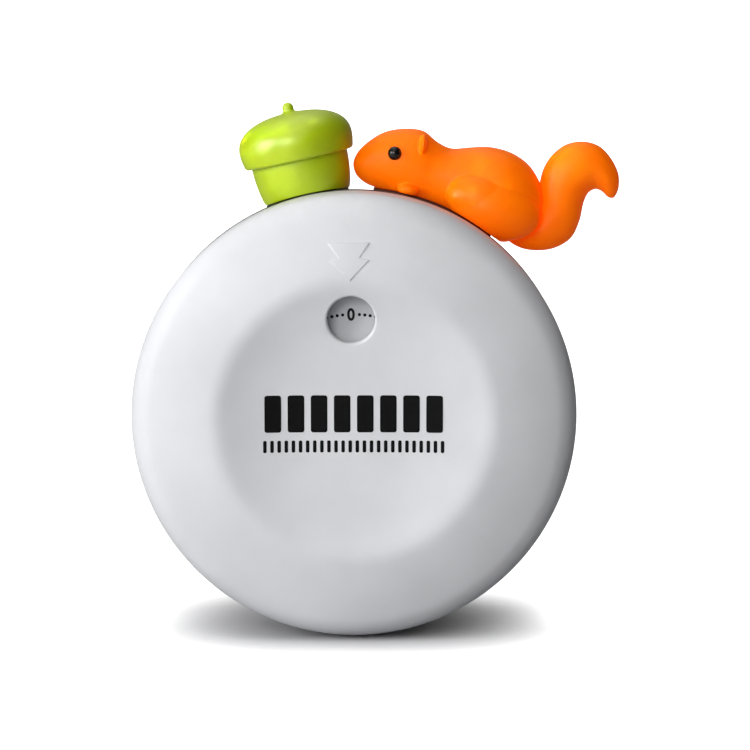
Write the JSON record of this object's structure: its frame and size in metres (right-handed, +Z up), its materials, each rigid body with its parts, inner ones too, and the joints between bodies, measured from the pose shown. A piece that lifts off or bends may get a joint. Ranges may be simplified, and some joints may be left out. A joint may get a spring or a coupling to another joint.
{
  "type": "kitchen timer",
  "caption": "Round wind-up kitchen timer: white dished front knob with a dial window turns on a rear case that carries an acorn and a squirrel; clockwork, hammer and bell inside.",
  "frame": {"origin": "centre of the foot pad's rest face, straight below the timer's axis", "axes": "+Z up; the front with its window faces -Y; +X to the right as seen from the front; the timer's axis runs along Y"},
  "size_m": [0.1115, 0.0564, 0.1203],
  "materials": {
    "white_plastic": "satin",
    "black_plastic": "matte",
    "foot_rubber": "matte",
    "dial_white": "matte",
    "steel": "turned",
    "brass": "brushed",
    "spring_steel": "blued",
    "bell_steel": "plated",
    "green_plastic": "satin",
    "orange_plastic": "satin",
    "black_bead": "polished"
  },
  "bodies": {
    "rear_case": {"rear_shell": "white_plastic", "seam_ring": "black_plastic", "foot_pad": "foot_rubber", "dial_disc": "dial_white", "dial_pillars": "steel", "dial_screws": "steel", "acorn_saddle": "black_plastic", "acorn_cap": "green_plastic", "acorn_nut": "green_plastic", "acorn_screw": "steel", "squirrel_saddle": "black_plastic", "squirrel_body": "orange_plastic", "squirrel_tail": "orange_plastic", "squirrel_eyes": "black_bead", "squirrel_screws": "steel", "movement_front_plate": "brass", "movement_back_plate": "brass", "plate_pillars": "steel", "pillar_nuts": "steel", "movement_screws": "steel", "mainspring": "spring_steel", "mainspring_post": "steel", "stop_pin": "steel", "hammer_stud": "steel", "hammer_spring": "steel", "bell": "bell_steel", "bell_post": "steel", "bell_nut": "steel"},
    "front_knob": {"front_shell": "white_plastic", "main_arbor": "steel", "stop_arm": "steel", "trip_cam": "brass", "ratchet_wheel": "steel", "great_wheel": "brass", "click_rivet": "steel", "click_spring": "steel"},
    "click_lever": {"click": "steel"},
    "second_arbor": {"second_wheel": "brass", "second_pinion": "steel"},
    "third_arbor": {"third_wheel": "brass", "third_pinion": "steel"},
    "escape_arbor": {"escape_wheel": "brass", "escape_pinion": "steel"},
    "verge_arbor": {"verge": "steel", "balance_weight": "brass"},
    "hammer": {"hammer_arm": "steel", "hammer_head": "brass"}
  },
  "joints": [
    {"name": "front_turn", "type": "hinge", "parent": "rear_case", "child": "front_knob", "pos_m": [0, 0, 0.0505], "axis": [0, 1, 0], "range_deg": [0, 330]},
    {"name": "click_lift", "type": "hinge", "parent": "front_knob", "child": "click_lever", "pos_m": [0.00987, 0, 0.05409], "axis": [0, -1, 0], "range_deg": [0, 8], "stiffness_Nm_per_rad": 0.0005, "springref_deg": -5.73},
    {"name": "second_spin", "type": "hinge", "parent": "rear_case", "child": "second_arbor", "pos_m": [-0.01302, 0, 0.03988], "axis": [0, 1, 0], "range_deg": [-1990, 10]},
    {"name": "third_spin", "type": "hinge", "parent": "rear_case", "child": "third_arbor", "pos_m": [-0.02453, 0, 0.04501], "axis": [0, 1, 0], "range_deg": [-60, 11940]},
    {"name": "escape_spin", "type": "hinge", "parent": "rear_case", "child": "escape_arbor", "pos_m": [-0.02551, 0, 0.05616], "axis": [0, 1, 0], "range_deg": [-71640, 360]},
    {"name": "verge_rock", "type": "hinge", "parent": "rear_case", "child": "verge_arbor", "pos_m": [-0.02151, 0, 0.06309], "axis": [0, 1, 0], "range_deg": [-5, 5]},
    {"name": "hammer_swing", "type": "hinge", "parent": "rear_case", "child": "hammer", "pos_m": [-0.022, 0, 0.0675], "axis": [0, 1, 0], "range_deg": [-1, 12], "stiffness_Nm_per_rad": 0.004}
  ],
  "couplings": [
    {"joint": "second_spin", "follows": "front_turn", "ratio": -6},
    {"joint": "third_spin", "follows": "front_turn", "ratio": 36},
    {"joint": "escape_spin", "follows": "front_turn", "ratio": -216}
  ]
}
